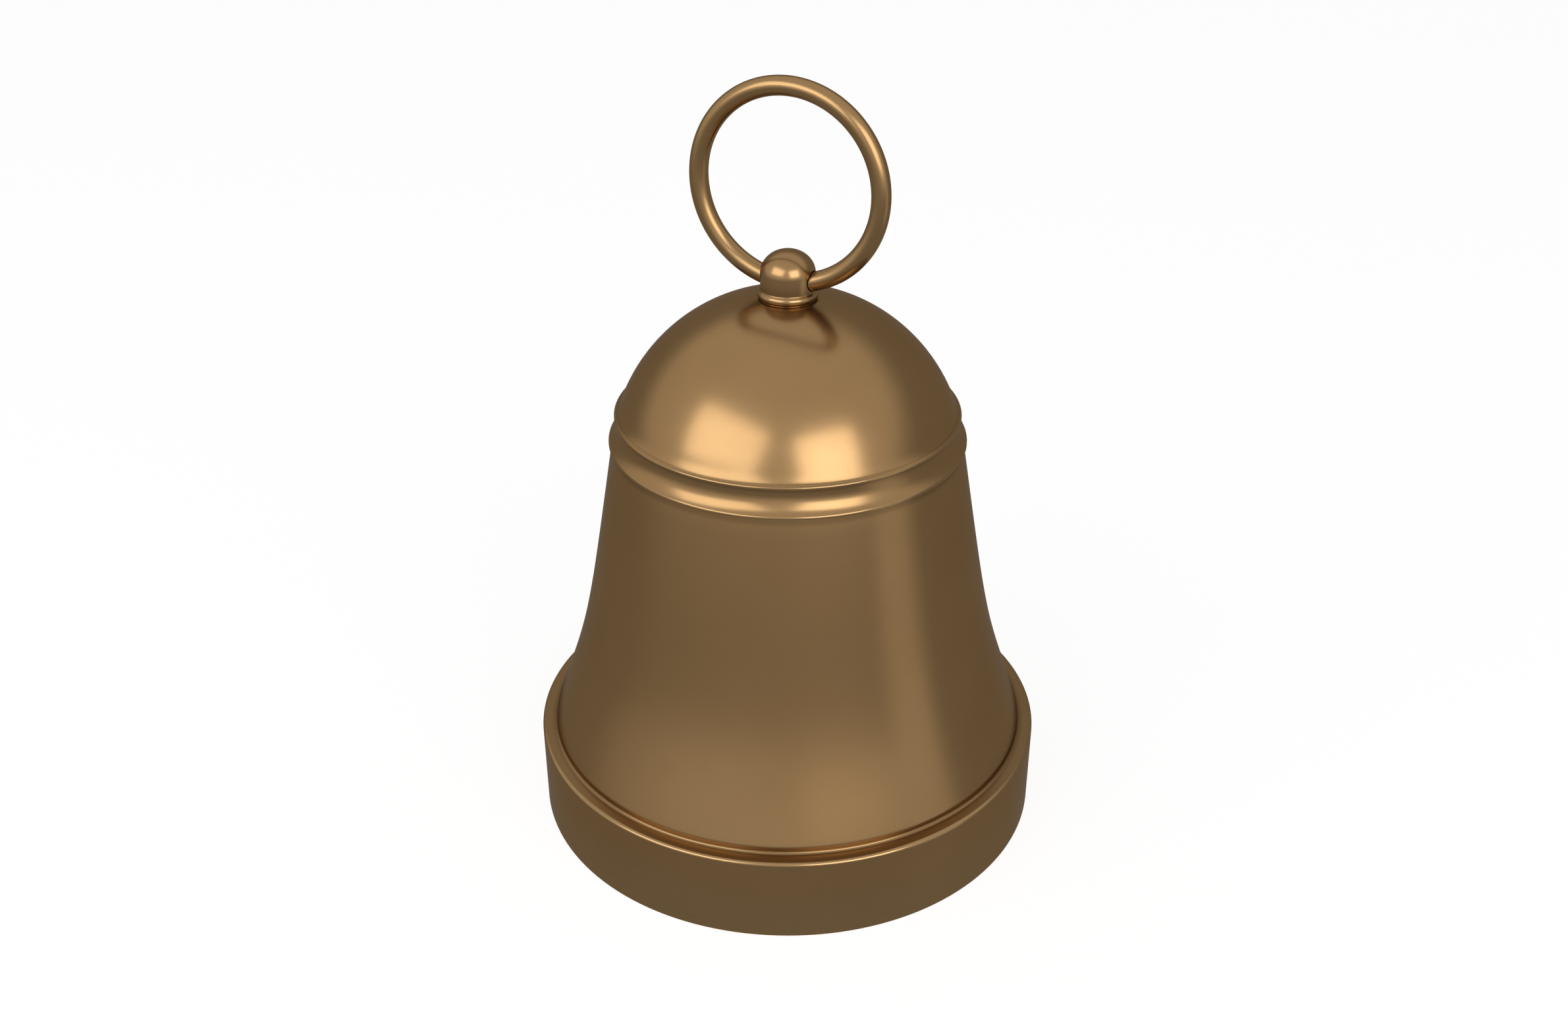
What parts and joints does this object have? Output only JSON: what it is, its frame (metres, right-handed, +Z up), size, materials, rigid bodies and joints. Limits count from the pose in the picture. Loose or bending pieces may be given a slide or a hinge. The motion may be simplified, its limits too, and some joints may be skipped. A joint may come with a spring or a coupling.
{
  "type": "church bell",
  "caption": "Small church bell with a drum lip, flared waist, moulded collar and domed crown, a crown knob holding a swinging ring, and a pivoted clapper inside.",
  "frame": {"origin": "centre of the mouth, on the plane that the lip stands on", "axes": "+Z up along the bell's axis to the ring; the ring stands in the XZ plane; the ring and the clapper swing about axes along X"},
  "size_m": [0.3, 0.3, 0.4369],
  "materials": {
    "bell_bronze": "satin cast and turned bronze, mid brown",
    "knob_bronze": "turned bronze, slightly brighter than the bell",
    "ring_bronze": "smooth drawn bronze bar, satin",
    "bush_bronze": "machined bearing bronze, oiled",
    "leather": "oiled dark harness leather",
    "forged_iron": "black forged iron with a thin dry scale",
    "fastener_steel": "dull zinc plated steel"
  },
  "bodies": {
    "bell": {"bell_casting": "bell_bronze", "crown_knob": "knob_bronze", "knob_gasket": "leather", "crown_pad": "leather", "clapper_staple": "forged_iron", "staple_dowel": "fastener_steel", "crown_washer": "fastener_steel", "spring_washer": "fastener_steel", "crown_nut": "fastener_steel", "crown_lock_nut": "fastener_steel", "pivot_bolt": "fastener_steel", "thrust_washer_left": "bush_bronze", "thrust_washer_right": "bush_bronze", "pivot_nut_washer": "fastener_steel", "pivot_castle_nut": "fastener_steel", "pivot_split_pin": "fastener_steel"},
    "ring": {"suspension_ring": "ring_bronze"},
    "clapper": {"clapper_bush": "bush_bronze", "clapper_shaft": "forged_iron", "clapper_ball": "forged_iron", "ball_lock_nut": "fastener_steel"}
  },
  "joints": [
    {"name": "ring_swing", "type": "hinge", "parent": "bell", "child": "ring", "pos_m": [0, 0, 0.32909], "axis": [1, 0, 0], "range_deg": [-120, 120]},
    {"name": "clapper_swing", "type": "hinge", "parent": "bell", "child": "clapper", "pos_m": [0, 0, 0.24654], "axis": [1, 0, 0], "range_deg": [-26.7, 26.7]}
  ]
}
